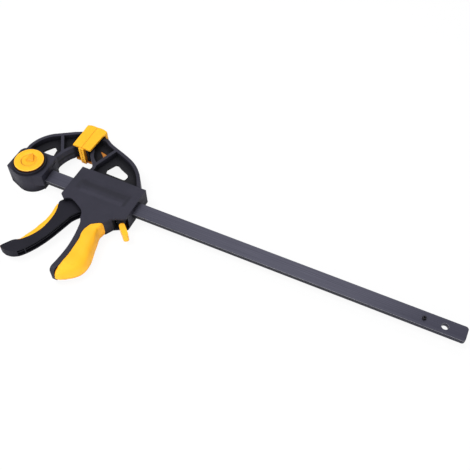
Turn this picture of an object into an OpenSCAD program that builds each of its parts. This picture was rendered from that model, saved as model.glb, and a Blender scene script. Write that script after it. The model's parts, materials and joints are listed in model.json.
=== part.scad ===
// Quick release bar clamp, lying on its side with the jaws closed.
// +X runs along the bar to its free end, +Y from the bar to the jaw pads, +Z up.
// The origin is on the middle of the bar, in the plane where the two pads meet.

/* [Bar] */
// Length of the bar
bar_l = 497.5; // [400:1:700]
// Width of the bar
bar_w = 16.4; // [14:0.1:18]
// Thickness of the bar
bar_t = 5; // [4:0.1:5.4]
// Length of bar behind the clamping plane, inside the fixed jaw
bar_tail = 56.7; // [55:0.1:57]
// Corner radius of the bar ends
bar_corner = 3; // [1:0.5:6]
// Radius of the lock hole at each end of the bar
bar_hole_r = 3.4; // [2.5:0.05:3.8]
// Distance of the free end's hole from the end
end_hole_inset = 20.8; // [12:0.1:30]
// Distance of the stop pin from the free end
stop_inset = 40.8; // [32:0.1:60]
// Radius of the stop pin
stop_r = 2; // [1.5:0.1:3]
// Height of the stop pin above each face of the bar
stop_proud = 2; // [1:0.1:4]
// Running gap between the bar and what it slides in
bar_gap = 0.25; // [0.1:0.05:0.4]

/* [Fixed jaw] */
// Distance from the clamping plane to the head
head_gap = 15.5; // [14.5:0.1:16.5]
// Length of the head along the bar
head_l = 42.5; // [41.5:0.1:46]
// Thickness of the head
head_t = 25; // [24:0.5:30]
// Distance from the bar's centre line to the head's round edge
head_r = 19.1; // [18.4:0.1:22]
// Thickness of both jaw arms
arm_t = 15.5; // [12:0.5:18]
// Width of the rims around the arms
rim_w = 3.8; // [2.5:0.1:4.5]
// Thickness of the web between the rims
web_t = 2.5; // [1.5:0.1:4]
// Outer bend radius of the fixed arm
arm_bend_r = 39.7; // [36:0.1:42]

/* [Pads] */
// Distance from the bar's centre line to the pads
pad_y = 42.9; // [40:0.1:46]
// Length of a pad across the bar
pad_l = 33.5; // [30:0.5:38]
// Depth of a pad along the bar
pad_d = 11.4; // [10:0.1:13]
// Thickness of a pad
pad_t = 24; // [22:0.5:26]
// Wall of a pad
pad_wall = 2.2; // [1.5:0.1:2.4]
// Thickness of a pad's face
pad_face = 3.1; // [2:0.1:4]
// How far a pad's face reaches past its sides
pad_drop = 2.4; // [1:0.1:2.8]
// Thickness of the plate that a pad grips
tip_t = 3; // [2:0.1:3.5]
// Gap between a pad and the plate in it
pad_gap = 0.1; // [0.05:0.05:0.3]
// Gap between the two pads when closed
closed_gap = 0.1; // [0.05:0.05:0.3]
// Depth of the grooves in a pad's face
groove_d = 0.8; // [0.3:0.1:1]

/* [Knob] */
// Distance of the knob's axis behind the clamping plane
knob_back = 38; // [37.6:0.1:39]
// Radius of the knob
knob_r = 16.2; // [14:0.1:17]
// Height of the knob's top above the head
knob_h = 4.6; // [4:0.1:7]
// Gap between the knob and the head
knob_gap = 2.2; // [0.4:0.1:2.6]
// Height of the collar around the knob
guard_h = 2.9; // [2.4:0.1:3.6]
// Radius of the knob's hub
hub_r = 9.6; // [8.5:0.1:10.2]
// Height of the finger bar above the knob's rim
finger_h = 1.6; // [0.5:0.1:3]
// Radius of the dish in the knob's top
dish_r = 9; // [8:0.1:11]
// Depth of the dish
dish_d = 1; // [0.5:0.1:1.2]
// Travel of the lock pin
pin_lift = 5.4; // [5:0.1:5.8]
// Gap between the lock pin and its holes
pin_gap = 0.05; // [0.03:0.01:0.1]

/* [Body] */
// Distance from the clamping plane to the body
body_gap = 15; // [14:0.5:17]
// Length of the body along the bar
body_l = 77.6; // [77:0.1:84]
// Distance from the bar's centre line to the body's top edge
body_up = 21; // [20.5:0.1:23]
// Thickness of the body
body_t = 20; // [20:0.5:24]
// Wall of the shells
wall = 2.5; // [2:0.1:2.8]
// Depth of the panel on the body's face
panel_depth = 1; // [0.4:0.1:1.2]
// Width of the panel's sloping sides
panel_slope = 3.5; // [1:0.5:5]
// Radius of the shell screws
screw_r = 1.5; // [1:0.1:1.7]
// Radius of the screw heads
screw_head_r = 2.7; // [2.4:0.1:2.9]

/* [Handle] */
// Distance from the bar's centre line down to the handle's corner
handle_top = 35.2; // [34:0.1:38]
// Length of the handle below the body's corner
handle_l = 66.3; // [62:0.1:76]
// Width of the handle at its fullest
handle_w = 24.5; // [22:0.1:27]
// Width of the handle's bare spine
spine_w = 6; // [5.2:0.1:6.8]
// Thickness of the grip at its fullest
grip_t = 25; // [23:0.5:28]
// Thickness of the grip's skin over its core
skin_t = 3.6; // [2.5:0.1:4]

/* [Trigger] */
// Length of the trigger from its pivot to its tip
trigger_l = 115; // [108:0.5:122]
// Thickness of the trigger
trigger_t = 10.8; // [10:0.1:13]
// Wall of the trigger's channel
trigger_wall = 1.9; // [1.6:0.1:2.2]
// Thickness of the rib along the channel
channel_rib_t = 1.2; // [0.8:0.1:1.6]
// Radius of the trigger's pivot pin
trigger_pin_r = 2.5; // [2:0.05:3]
// Thickness of the trigger's soft insert
insert_t = 6.8; // [4:0.1:7]
// Gap around the pivot pins
pivot_gap = 0.05; // [0.03:0.01:0.1]

/* [Drive] */
// Thickness of the drive plate and the brake plate
plate_t = 2.5; // [2:0.1:3]
// Gap between the plates and the bar across its width
plate_gap = 0.4; // [0.35:0.05:0.5]
// Wire of the drive spring
drive_wire = 0.9; // [0.6:0.1:1.1]
// Wire of the brake spring
brake_wire = 0.7; // [0.5:0.1:0.9]
// Wire of the lock pin's spring
lock_wire = 0.6; // [0.4:0.1:0.7]

/* [Release lever] */
// Length of the release tab from its pivot to its tip
tab_l = 24.2; // [22:0.1:30]
// Thickness of the release tab
tab_t = 4.6; // [3.5:0.1:5]
// Width of the release lever
lever_w = 11; // [9:0.1:12]
// Radius of the release lever's pivot pin
release_pin_r = 2; // [1.5:0.05:2.3]

/* [Hidden] */

$fn = 48;
charcoal = "#45454f";
yellow = "#ffc22a";
steel = "#8a8d93";
dark_steel = "#5b5c63";
eps = 0.01;
step_gap = 0.3;

// Bar
bar_x0 = -bar_tail;
bar_x1 = bar_l - bar_tail;
knob_x = -knob_back;
end_hole_x = bar_x1 - end_hole_inset;
stop_x = bar_x1 - stop_inset;
slot_w = bar_w + 2 * bar_gap;
slot_t = bar_t + 2 * bar_gap;

// Fixed jaw
head_x1 = -head_gap;
head_x0 = -head_gap - head_l;
arm_x0 = head_x0 + 0.8;
head_z = head_t / 2;
arm_z = arm_t / 2;
pad_z = pad_t / 2;
pad_y1 = pad_y + pad_l;
tip_x = pad_face + pad_gap;
tip_y0 = pad_y + 1.4;
tip_y1 = pad_y1 - pad_wall - pad_gap;
tip_z = pad_z - pad_wall - pad_gap;

// Knob and lock pin, from the head's bar slot upwards
pin_r = bar_hole_r - pin_gap;
seat_z = slot_t / 2 + 3.2;
collar_r = 4.6;
hub_z0 = seat_z + 0.2;
collar_h = 1.4;
stem_r = 2.1;
hub_bore_r = collar_r + 0.4;
hub_flange_r = hub_r + 0.8;
hub_flange_h = 1.8;
ring_h = 1.6;
ring_bore_r = hub_flange_r + 0.4;
knob_z1 = head_z + knob_h;
knob_roof_z = knob_z1 - dish_d - 1.4;
collar_z = seat_z + 0.05;
stem_z1 = knob_roof_z - pin_lift - 0.3;

// Body
body_x0 = body_gap;
body_x1 = body_gap + body_l;
body_z = body_t / 2;
cavity_z = body_z - wall;
corner = [body_x1 - 18.4, -handle_top];
post_r = 3.4;
screw_head_h = 2;

// Handle, with its outlines running down from the body's corner
handle_x = corner[0] - 16;
function down(t) = corner[1] - t * handle_l;
function back(w, t) = [handle_x + w * handle_w, down(t)];
handle_end = down(1.078);
foot_round = 6.5;

// Trigger, with its outlines hanging from the pivot
pivot = [body_x0 + 18, body_up - 7];
function hang(across, down) = pivot + trigger_l * [across, -down];
trigger_z = trigger_t / 2;
fork_z = bar_t / 2 + 0.6;
fork_r = trigger_pin_r + 1.7;
nose_r = 3.5;
nose_y = pivot[1] - 17;

// Drive and brake
drive_x = body_x0 + 27;
drive_y0 = -bar_w / 2 - 2.8;
drive_y1 = body_up - 4;
plate_z = cavity_z - 0.6;
drive_seat_x = body_x0 + 45;
drive_spring_y = bar_w / 2 + 4.4;
drive_spring_r = 3.1;
brake_x = body_x1 - 14.6;
brake_y0 = -19;
brake_y1 = body_up - 5.5;
brake_seat_x = brake_x - 7.6;
brake_spring_y = -bar_w / 2 - 5.2;
brake_spring_r = 2.6;
screw_posts = [
    [body_x0 + 6.2, body_up - 6.2],
    [(drive_seat_x + brake_x) / 2 - 1, body_up - 6.2],
    [body_x1 - 5.4, body_up - 6.2],
    [handle_x + 5, brake_y0 - 1.5],
    [handle_x + 5.8, corner[1] - 0.8]
];

// Release lever
lever_pivot = [body_x1 - 7.3, -13];
tab_turn = -57.5;
hub_out_r = release_pin_r + 2.2;

// ---------- helpers ----------

// Points of a smooth curve through the given points
function smooth(p, n = 6) = [
    for (i = [0 : len(p) - 2], k = [0 : n - 1])
        catmull(p[max(i - 1, 0)], p[i], p[i + 1], p[min(i + 2, len(p) - 1)], k / n),
    p[len(p) - 1]
];
function catmull(a, b, c, d, t) =
    0.5 * (2 * b + (c - a) * t + (2 * a - 5 * b + 4 * c - d) * t * t
           + (3 * b - a - 3 * c + d) * t * t * t);
function between(a, b, p) = [a[0] + (b[0] - a[0]) * p[0], a[1] + (b[1] - a[1]) * p[1]];
function backwards(p) = [for (i = [len(p) - 1 : -1 : 0]) p[i]];
function arc(c, r, a0, a1, n = 12) = [
    for (i = [0 : n]) c + r * [cos(a0 + (a1 - a0) * i / n), sin(a0 + (a1 - a0) * i / n)]
];

// A plate centred on the bar's middle plane
module slab(h) {
    translate([0, 0, -h / 2]) linear_extrude(h) children();
}

module rounded(r) {
    offset(r) offset(-r) children();
}

module block(x0, x1, y0, y1, z0, z1) {
    translate([x0, y0, z0]) cube([x1 - x0, y1 - y0, z1 - z0]);
}

module post(p, r, z0, z1) {
    translate([p[0], p[1], z0]) cylinder(r = r, h = z1 - z0);
}

module across(p, r, half) {
    post(p, r, -half, half);
}

// A coil spring of round wire, its axis along +Z from the origin
module coil(r, wire, l, turns) {
    ring = 8;
    per_turn = 16;
    steps = turns * per_turn;
    rise = l - wire;
    points = [
        for (i = [0 : steps], k = [0 : ring - 1])
            let (a = 360 * i / per_turn, b = 360 * k / ring,
                 reach = r - wire / 2 + wire / 2 * cos(b))
            [reach * cos(a), reach * sin(a), wire / 2 + rise * i / steps + wire / 2 * sin(b)]
    ];
    sides = [
        for (i = [0 : steps - 1], k = [0 : ring - 1])
            let (n = (k + 1) % ring)
            [i * ring + k, (i + 1) * ring + k, (i + 1) * ring + n, i * ring + n]
    ];
    first = [[for (k = [0 : ring - 1]) k]];
    last = [[for (k = [ring - 1 : -1 : 0]) steps * ring + k]];
    polyhedron(points, concat(first, sides, last), convexity = 8);
}

// ---------- bar ----------

module bar_outline() {
    rounded(bar_corner) translate([bar_x0, -bar_w / 2]) square([bar_l, bar_w]);
}

module bar() {
    color(dark_steel) difference() {
        slab(bar_t) bar_outline();
        across([knob_x, 0], bar_hole_r, bar_t);
        across([end_hole_x, 0], bar_hole_r, bar_t);
        across([stop_x, 0], stop_r, bar_t);
    }
}

// A rolled pin pressed through the bar
module stop_pin() {
    color(steel) difference() {
        across([stop_x, 0], stop_r - 0.02, bar_t / 2 + stop_proud);
        across([stop_x, 0], stop_r * 0.45, bar_t);
    }
}

// ---------- jaws ----------

// The plate at an arm's tip, which the pad snaps over
module tip_plate() {
    slab(2 * tip_z) translate([tip_x, tip_y0]) square([tip_t, tip_y1 - tip_y0]);
}

// An arm of I section: rims around a thin web that has holes in it
module arm() {
    slab(web_t) difference() {
        children(0);
        children(1);
    }
    slab(arm_t) difference() {
        children(0);
        offset(delta = -rim_w) children(0);
    }
}

module fixed_arm_outline() {
    tip = [-tip_x - eps, pad_y + 8.6];
    root = [head_x1 - 1, 4.8];
    outer = concat(
        arc([arm_x0 + arm_bend_r - 0.4, 18.9], arm_bend_r, 172, 126.5),
        [[tip[0] - 18.6, tip_y1 - 10.8], [tip[0], tip_y1 - 1.3]]
    );
    inner = smooth([for (p = [
        [0, 0], [0.4, 0.135], [0.565, 0.23], [0.76, 0.3], [0.93, 0.39], [1.04, 0.47], [1.13, 0.56],
        [1.17, 0.65], [1.1, 0.73], [0.97, 0.8], [0.95, 0.9], [1, 1]
    ]) between(tip, root, p)]);
    polygon(concat([[arm_x0, 0]], outer, inner));
}

module fixed_web_holes() {
    rounded(1.6) translate([arm_x0, 0])
        polygon([[12, 22], [16, 31], [22.3, 39.6], [27.7, 35.6], [29.6, 22]]);
}

// The round head with its flat end
module head_outline() {
    polygon(concat(
        [[head_x0, 11.5], [head_x0 + 2.2, 15.3], [head_x0 + 6, head_r - 1.6], [head_x0 + 12, head_r - 0.2],
         [head_x1 - 3.3, head_r - 0.3], [head_x1 - 3.1, 8.5], [head_x1 - 3.1, -8.5]],
        arc([knob_x + 0.5, 0], head_r + 0.8, -26, -110),
        [[head_x0 + 6, -15.8], [head_x0, -13.6]]
    ));
}

// The lip around the bar, on the side of the bar where the knob is
module head_lip_outline() {
    polygon([
        [head_x1 - 10.5, 15], [head_x1 - 6.8, head_r - 0.1], [head_x1 - 1.7, head_r + 0.4],
        [head_x1 - 0.7, 9.6], [head_x1 - 0.4, 1.7], [head_x1, -5], [head_x1 - 0.2, -11.4],
        [head_x1 - 2, -12.2], [head_x1 - 10.5, -15.8]
    ]);
}

module fixed_jaw() {
    color(charcoal) difference() {
        union() {
            slab(head_t) head_outline();
            // collar that the knob turns in
            difference() {
                post([knob_x, 0], knob_r + 1.6, head_z - eps, head_z + guard_h);
                post([knob_x, 0], knob_r + 0.5, head_z - 1, head_z + guard_h + 1);
            }
            translate([0, 0, -slot_t / 2]) linear_extrude(head_z + slot_t / 2) head_lip_outline();
            arm() {
                fixed_arm_outline();
                fixed_web_holes();
            }
            // rib from the outer rim to the inner rim
            slab(arm_t) intersection() {
                fixed_arm_outline();
                translate([arm_x0 + 30.8, 44]) rotate(-57.5) square([30, rim_w - 0.4], center = true);
            }
            mirror([1, 0, 0]) tip_plate();
        }
        block(head_x0 - 1, 0, -slot_w / 2, slot_w / 2, -slot_t / 2, slot_t / 2);
        post([knob_x, 0], bar_hole_r, 0, head_z);
        post([knob_x, 0], ring_bore_r, seat_z, head_z + 1);
    }
}

// The soft cap over a jaw's tip, drawn for the moving jaw. Its top reaches past it by the given length
module pad(reach) {
    inner_z = pad_z - pad_wall;
    outside = [
        [closed_gap / 2, pad_y1], [pad_d * 0.35, pad_y1 + 0.4], [pad_d * 0.7, pad_y1 + 0.1],
        [pad_d + reach, pad_y1 - 1.4], [pad_d + reach, pad_y1 - 7],
        [pad_d + 0.4 * reach, pad_y1 - 7 - reach], [pad_d - 0.4 * reach, pad_y]
    ];
    hollow = [
        [pad_face, pad_y1 - pad_wall], [tip_x + tip_t + pad_gap, pad_y1 - pad_wall],
        [pad_d + 0.4, pad_y1 - pad_wall - 3], [pad_d + 4.2, pad_y1 - pad_wall - 3.8],
        [pad_d + 12, pad_y1 - 14], [pad_d + 12, pad_y - pad_drop - 1], [pad_face, pad_y - pad_drop - 1]
    ];
    difference() {
        union() {
            slab(pad_t) polygon(concat([[closed_gap / 2, pad_y]], outside));
            slab(pad_t - 1) translate([closed_gap / 2, pad_y - pad_drop])
                square([pad_face - closed_gap / 2, pad_l]);
        }
        // holds the tip plate and lets the arm in
        slab(2 * inner_z) polygon(hollow);
        // grooves along the face
        for (i = [-2.5 : 2.5])
            translate([closed_gap / 2, pad_y + pad_l / 2, i * (pad_t - 1) / 6]) rotate([0, 45, 0])
                cube([groove_d * sqrt(2), 2 * pad_l, groove_d * sqrt(2)], center = true);
    }
    // lips that hook behind the tip plate
    lip_x = tip_x + tip_t + pad_gap;
    for (s = [0, 1]) mirror([0, 0, s])
        block(lip_x, lip_x + 1.6, pad_y + 3, pad_y1 - 8, arm_z + 0.3, inner_z + 0.1);
}

// A tongue that lies under the arm
module pad_tongue() {
    translate([0, 0, -pad_z]) linear_extrude(pad_z - arm_z - step_gap) hull() {
        translate([pad_d - 1.5, pad_y + 11]) square([1, 15]);
        children();
    }
}

module fixed_pad() {
    color(yellow) mirror([1, 0, 0]) {
        pad(0.3);
        pad_tongue() translate([pad_d + 7, pad_y + 16]) circle(3);
    }
}

module moving_pad() {
    color(yellow) {
        pad(1.7);
        pad_tongue() offset(0.5) small_window();
        // boss that fills the arm's small window
        translate([0, 0, -pad_z]) {
            linear_extrude(pad_z - web_t / 2 - 0.35) offset(0.5) small_window();
            linear_extrude(pad_z + 0.4) offset(-0.25) small_window();
        }
    }
}

// ---------- knob ----------

module knob() {
    dish_z = knob_z1 - dish_d;
    color(yellow) difference() {
        union() {
            difference() {
                union() {
                    post([knob_x, 0], knob_r, head_z + knob_gap, knob_z1 - 0.8);
                    translate([knob_x, 0, knob_z1 - 0.8]) cylinder(r1 = knob_r, r2 = knob_r - 0.8, h = 0.8);
                }
                translate([knob_x, 0, dish_z]) cylinder(r1 = dish_r - 0.8, r2 = dish_r, h = dish_d + eps);
            }
            post([knob_x, 0], hub_r, hub_z0, dish_z - eps);
            post([knob_x, 0], hub_flange_r, hub_z0, hub_z0 + hub_flange_h);
            // ramp to turn it by, steep at its front end
            translate([knob_x - 1.9, 0, dish_z - eps]) hull() {
                linear_extrude(eps) translate([-3, 0.4]) square([6, 12.4]);
                translate([-2.3, 1.4, dish_d + finger_h]) cube([4.6, 1.4, eps]);
            }
        }
        post([knob_x, 0], hub_bore_r, hub_z0 - 1, knob_roof_z);
    }
}

// Split ring that keeps the knob in the head
module knob_ring() {
    z0 = hub_z0 + hub_flange_h + 0.15;
    color(steel) difference() {
        post([knob_x, 0], ring_bore_r - 0.02, z0, z0 + ring_h);
        post([knob_x, 0], hub_r + 0.15, z0 - 1, z0 + ring_h + 1);
        block(knob_x + hub_r - 1, knob_x + ring_bore_r + 1, -1.2, 1.2, z0 - 1, z0 + ring_h + 1);
    }
}

module lock_pin() {
    color(steel) {
        post([knob_x, 0], pin_r, -slot_t / 2 + 0.1, collar_z + eps);
        post([knob_x, 0], collar_r, collar_z, collar_z + collar_h);
        post([knob_x, 0], stem_r, collar_z + collar_h - eps, stem_z1);
    }
}

module lock_spring() {
    z0 = collar_z + collar_h + 0.02;
    color(steel) translate([knob_x, 0, z0]) coil(collar_r - 0.2, lock_wire, knob_roof_z - z0 - 0.02, 3);
}

// ---------- body ----------

function trigger_mouth() = [
    [body_x0 + 6.2, -25.4], [body_x0 + 8.1, -22.6], [body_x0 + 12.4, -21.4], [body_x0 + 17.6, -22.9],
    [body_x0 + 23.9, -26.1], [body_x0 + 28.8, -28.9], [body_x0 + 32.5, -33], [handle_x - 8.6, -38.9]
];

function spine_edge() = [
    [handle_x - 8.6, -38.9], [handle_x - 5.6, down(0.13)], [handle_x - 3.7, down(0.24)],
    [handle_x - 2, down(0.38)], [handle_x - 0.8, down(0.55)], [handle_x - 0.8, down(0.7)],
    [handle_x - 1.6, down(0.86)], [handle_x - 2.4, down(0.95)], [handle_x - 2.6, down(1.01)],
    [handle_x - 2.2, down(1.05)], [handle_x + 0.3, down(1.078)]
];

function handle_back() = [
    back(0.14, 1.075), back(0.33, 1.035), back(0.645, 0.94),
    back(0.88, 0.85), back(0.99, 0.75), back(1, 0.63),
    back(0.94, 0.525), back(0.845, 0.41), back(0.73, 0.275),
    back(0.63, 0.17), back(0.6, 0.105), corner
];

function grip_edge() = [
    corner, [corner[0] - 4.6, corner[1] - 1.9], [corner[0] - 7.7, corner[1] - 4.4],
    [corner[0] - 10.7, corner[1] - 7], [handle_x + 4.1, down(0.165)], [handle_x + 3.2, down(0.23)],
    [handle_x + 3.6, down(0.31)], [handle_x + spine_w - 0.7, down(0.42)],
    [handle_x + spine_w - 0.15, down(0.58)], [handle_x + spine_w, down(0.71)],
    [handle_x + spine_w - 1.1, down(0.85)], [handle_x + spine_w - 2.7, down(0.96)],
    [handle_x + spine_w - 3.5, down(1.03)], back(0.14, 1.075)
];

module body_outline() {
    polygon(concat(
        [[body_x0, body_up], [body_x1, body_up], [body_x1, -20.2], [body_x1 - 2.6, -23],
         [body_x1 - 8, -24.1], [body_x1 - 14, -27.6], corner, [handle_x + 6, corner[1] - 12],
         [handle_x - 4, -44]],
        backwards(smooth(trigger_mouth())),
        [[body_x0 - 0.4, -20.2], [body_x0 - 0.5, -16.5]]
    ));
}

module handle_outline() {
    polygon(concat(smooth(spine_edge()), smooth(handle_back()), [[handle_x + 2, corner[1]]]));
}

module grip_region() {
    polygon(concat(smooth(grip_edge()), smooth(handle_back())));
}

// What the mechanism needs, open at the trigger's mouth
module cavity_outline() {
    polygon([
        [body_x0 + wall, body_up - wall], [body_x1 - wall, body_up - wall], [body_x1 - wall, -18.6],
        [body_x1 - 8.6, -21.5], [body_x1 - 15, -24.6], [body_x1 - 20.6, -33], [body_x0 + 42, -33],
        [body_x0 + 41.5, -37], [body_x0 + 36.5, -40.8], [body_x0 + 30, -46], [body_x0 + 5, -36],
        [body_x0 - 5, -26], [body_x0 - 1, -17.2], [body_x0 + wall, -17.2]
    ]);
}

module moving_arm_outline() {
    tip = [tip_x, tip_y1 - 0.9];
    shoulder = [body_x1 - 8.2, body_up];
    chin = [tip_x, pad_y + 11.1];
    throat = [body_x0 + 5, body_up];
    outer = smooth([for (p = [
        [0, 0.03], [0.06, 0.06], [0.11, 0.082], [0.18, 0.084], [0.27, 0.163], [0.383, 0.23],
        [0.485, 0.284], [0.597, 0.35], [0.69, 0.416], [0.773, 0.5], [0.845, 0.603],
        [0.905, 0.713], [0.994, 0.946], [1.01, 1.04]
    ]) between(tip, shoulder, p)], 4);
    inner = smooth([for (p = [
        [0, 0], [0.345, 0.236], [0.583, 0.47], [0.85, 0.61], [1.095, 0.718], [1.155, 0.806],
        [1.173, 0.885], [1.107, 0.97], [0.94, 1], [0.88, 1.06]
    ]) between(chin, throat, p)], 4);
    polygon(concat(outer, backwards(inner)));
}

// The window that the pad's boss shows in
module small_window() {
    translate([body_x0, body_up])
        rounded(0.6) polygon([[-0.6, 34.4], [13.8, 31.4], [11, 23.8]]);
}

module moving_web_holes() {
    small_window();
    translate([body_x0, body_up]) rounded(2.4)
        polygon([
            [22, 8.3], [20.6, 13.5], [25.8, 23.8], [29, 24], [34.1, 21.3], [43.3, 17.6],
            [46.8, 13.8], [46, 7.8]
        ]);
}

module moving_arm() {
    arm() {
        moving_arm_outline();
        moving_web_holes();
    }
    slab(arm_t) intersection() {
        moving_arm_outline();
        translate([body_x0 + 14, body_up + 23]) rotate(70) square([40, rim_w - 0.2], center = true);
    }
    tip_plate();
}

// The shells' plan without what the grip covers
module shell_plan() {
    difference() {
        union() {
            body_outline();
            handle_outline();
        }
        grip_region();
    }
}

// The core that the grip is moulded over
module grip_core() {
    slab(body_t - 2 * skin_t) difference() {
        offset(delta = -skin_t) handle_outline();
        translate([0, down(0.94) - handle_l]) square([body_x1, handle_l]);
    }
}

// Everything that a handle with a rounded foot may fill, half as thick as r
module above_foot(r) {
    foot_y = handle_end + foot_round;
    translate([-1, 0, 0]) rotate([90, 0, 90]) linear_extrude(bar_l)
        polygon(concat(
            [[200, -r], [200, r]],
            [for (a = [90 : -10 : -90]) [foot_y - foot_round * cos(a), r * sin(a)]]
        ));
}

module shell_solid() {
    intersection() {
        slab(body_t) shell_plan();
        above_foot(body_z);
    }
    grip_core();
    moving_arm();
}

// Seats inside the shells for the springs, plates, pins and screws
module shell_seats() {
    h = 2 * cavity_z + 0.2;
    top = body_up - wall + 0.1;
    half_h = h / 2;
    block(drive_seat_x, drive_seat_x + 2.4, bar_w / 2 + 1, top, -half_h, half_h);
    block(brake_seat_x - 2.4, brake_seat_x, -25, -bar_w / 2 - 1, -half_h, half_h);
    for (x = [brake_x - 2.2, brake_x + plate_t + 0.6])
        block(x, x + 1.6, brake_y1 - 2.5, top, -half_h, half_h);
    block(brake_x - 1, brake_x + plate_t + 1, brake_y1 + step_gap, top, -half_h, half_h);
    // wall in front of the release lever's neck
    block(body_x1 - 11, body_x1 - 2.2, -22.5, -19.2, 0.2, half_h);
    for (p = screw_posts) across(p, post_r, half_h);
    for (s = [-1, 1]) {
        post(pivot, trigger_pin_r + 2, s > 0 ? trigger_z + step_gap : -half_h,
             s > 0 ? half_h : -trigger_z - step_gap);
        post(lever_pivot, release_pin_r + 2, s > 0 ? lever_w / 2 + step_gap : -half_h,
             s > 0 ? half_h : -lever_w / 2 - step_gap);
    }
}

// Both shells in one, to be cut along the bar's middle plane
module shells() {
    difference() {
        union() {
            difference() {
                shell_solid();
                slab(2 * cavity_z) cavity_outline();
                // pocket that the release lever swings in
                slab(2 * cavity_z) polygon([
                    [body_x1 - 12, -18], [body_x1 - 13.4, -32], [body_x1 + 4, -32], [body_x1 + 4, -18.6],
                    [body_x1 - wall, -17]
                ]);
            }
            shell_seats();
        }
        block(body_x0 - 1, body_x1 + 1, -slot_w / 2, slot_w / 2, -slot_t / 2, slot_t / 2);
        // arched mouth over and under the bar where it leaves the body
        translate([body_x1 - wall - 1, 0, 0]) rotate([90, 0, 90]) linear_extrude(wall + 2)
            polygon([
                for (s = [1, -1]) each [
                    [s * slot_w / 2, s * slot_t / 2], [s * slot_w / 3, s * cavity_z],
                    [-s * slot_w / 3, s * cavity_z], [-s * slot_w / 2, s * slot_t / 2]
                ]
            ]);
        across(pivot, trigger_pin_r, body_z - 0.8);
        across(lever_pivot, release_pin_r, body_z - 0.8);
        for (p = screw_posts) {
            post(p, screw_r, -body_z - 1, body_z - wall);
            post(p, screw_head_r + 0.1, -body_z - 1, -body_z + screw_head_h);
        }
        // shallow panel with sloping sides on each face
        for (s = [0, 1]) mirror([0, 0, s]) hull() {
            translate([0, 0, body_z]) linear_extrude(eps) panel_outline(0);
            translate([0, 0, body_z - panel_depth]) linear_extrude(eps) panel_outline(panel_slope);
        }
    }
}

module panel_outline(inset) {
    rounded(3) translate([body_x0 + 12 + inset, -9.5 + inset])
        square([body_l - 21 - 2 * inset, 19.5 - 2 * inset]);
}

module front_shell() {
    color(charcoal) intersection() {
        shells();
        block(-1, bar_l, -200, 200, 0, 50);
    }
}

module rear_shell() {
    color(charcoal) intersection() {
        shells();
        block(-1, bar_l, -200, 200, -50, 0);
    }
}

module shell_screws() {
    color(steel) for (p = screw_posts) {
        post(p, screw_r - 0.05, -body_z + screw_head_h - 0.5, body_z - wall - 1);
        difference() {
            post(p, screw_head_r, -body_z + 0.2, -body_z + screw_head_h - 0.02);
            for (a = [0, 90]) translate([p[0], p[1], -body_z + 0.2]) rotate(a)
                cube([3.2, 0.7, 1.6], center = true);
        }
    }
}

// One station along the grip: how far down it is, how far back it reaches, its thickness
// and how round its section is, from a box at 0 to an ellipse at 1
module grip_station(t, reach, thick, round) {
    front = 9;
    half = (reach * handle_w + front) / 2;
    translate([handle_x - front + half, down(t), 0]) rotate([90, 0, 0]) linear_extrude(0.4)
        polygon([
            for (a = [0 : 15 : 345])
                [half * rounding(cos(a), round), thick / 2 * rounding(sin(a), round)]
        ]);
}

function rounding(c, power) = sign(c) * pow(abs(c), power);

module grip() {
    stations = [
        [-0.02, 0.66, grip_t - 5, 0.2], [0.14, 0.62, grip_t - 3, 0.45], [0.36, 0.815, grip_t - 0.6, 0.72],
        [0.54, 0.96, grip_t, 0.72], [0.7, 1, grip_t, 0.72], [0.87, 0.86, grip_t - 0.6, 0.72],
        [0.99, 0.49, grip_t - 6, 0.72], [1.08, 0.15, grip_t - 16, 0.72]
    ];
    color(yellow) difference() {
        intersection() {
            slab(2 * grip_t) grip_region();
            above_foot(grip_t / 2);
            union() for (i = [0 : len(stations) - 2]) hull() {
                for (s = [stations[i], stations[i + 1]]) grip_station(s[0], s[1], s[2], s[3]);
            }
        }
        grip_core();
    }
}

// ---------- trigger ----------

function trigger_front() = [
    hang(-0.1365, 0.335), hang(-0.147, 0.359),
    hang(-0.14, 0.399), hang(-0.129, 0.432),
    hang(-0.1165, 0.499), hang(-0.1165, 0.565),
    hang(-0.1215, 0.626), hang(-0.1355, 0.696),
    hang(-0.1625, 0.761), hang(-0.1915, 0.808),
    hang(-0.2285, 0.855), hang(-0.2775, 0.89),
    hang(-0.315, 0.941), hang(-0.339, 0.978), hang(-0.344, 0.996)
];

function trigger_back() = [
    hang(-0.2965, 1.009), hang(-0.2375, 1.001),
    hang(-0.182, 0.968), hang(-0.1365, 0.912),
    hang(-0.114, 0.874), hang(-0.092, 0.834),
    hang(-0.0715, 0.788), hang(-0.052, 0.74),
    hang(-0.034, 0.686), hang(-0.0175, 0.629),
    hang(-0.002, 0.571), hang(0.014, 0.511),
    hang(0.03, 0.456), hang(0.061, 0.406),
    hang(0.0955, 0.365)
];

module trigger_outline() {
    polygon(concat(
        [hang(-0.0522, 0.1217), hang(-0.0696, 0.2435)],
        smooth(trigger_front(), 4), smooth(trigger_back(), 4),
        [hang(0.0557, 0.2696), hang(0.047, 0.1217)]
    ));
}

// What the channel takes out, open towards the handle, with a rib and a solid tip left
module channel_outline() {
    difference() {
        for (dx = [3, 9]) translate([dx, -0.8]) trigger_outline();
        translate(hang(-0.1896, 0.9687)) rotate(42) translate([-60, -30]) square(60);
        translate(hang(-0.1365, 0.927)) rotate(42) square([1.2, 60], center = true);
        translate(hang(-0.1739, 0.2957)) square(60);
    }
}

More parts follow.
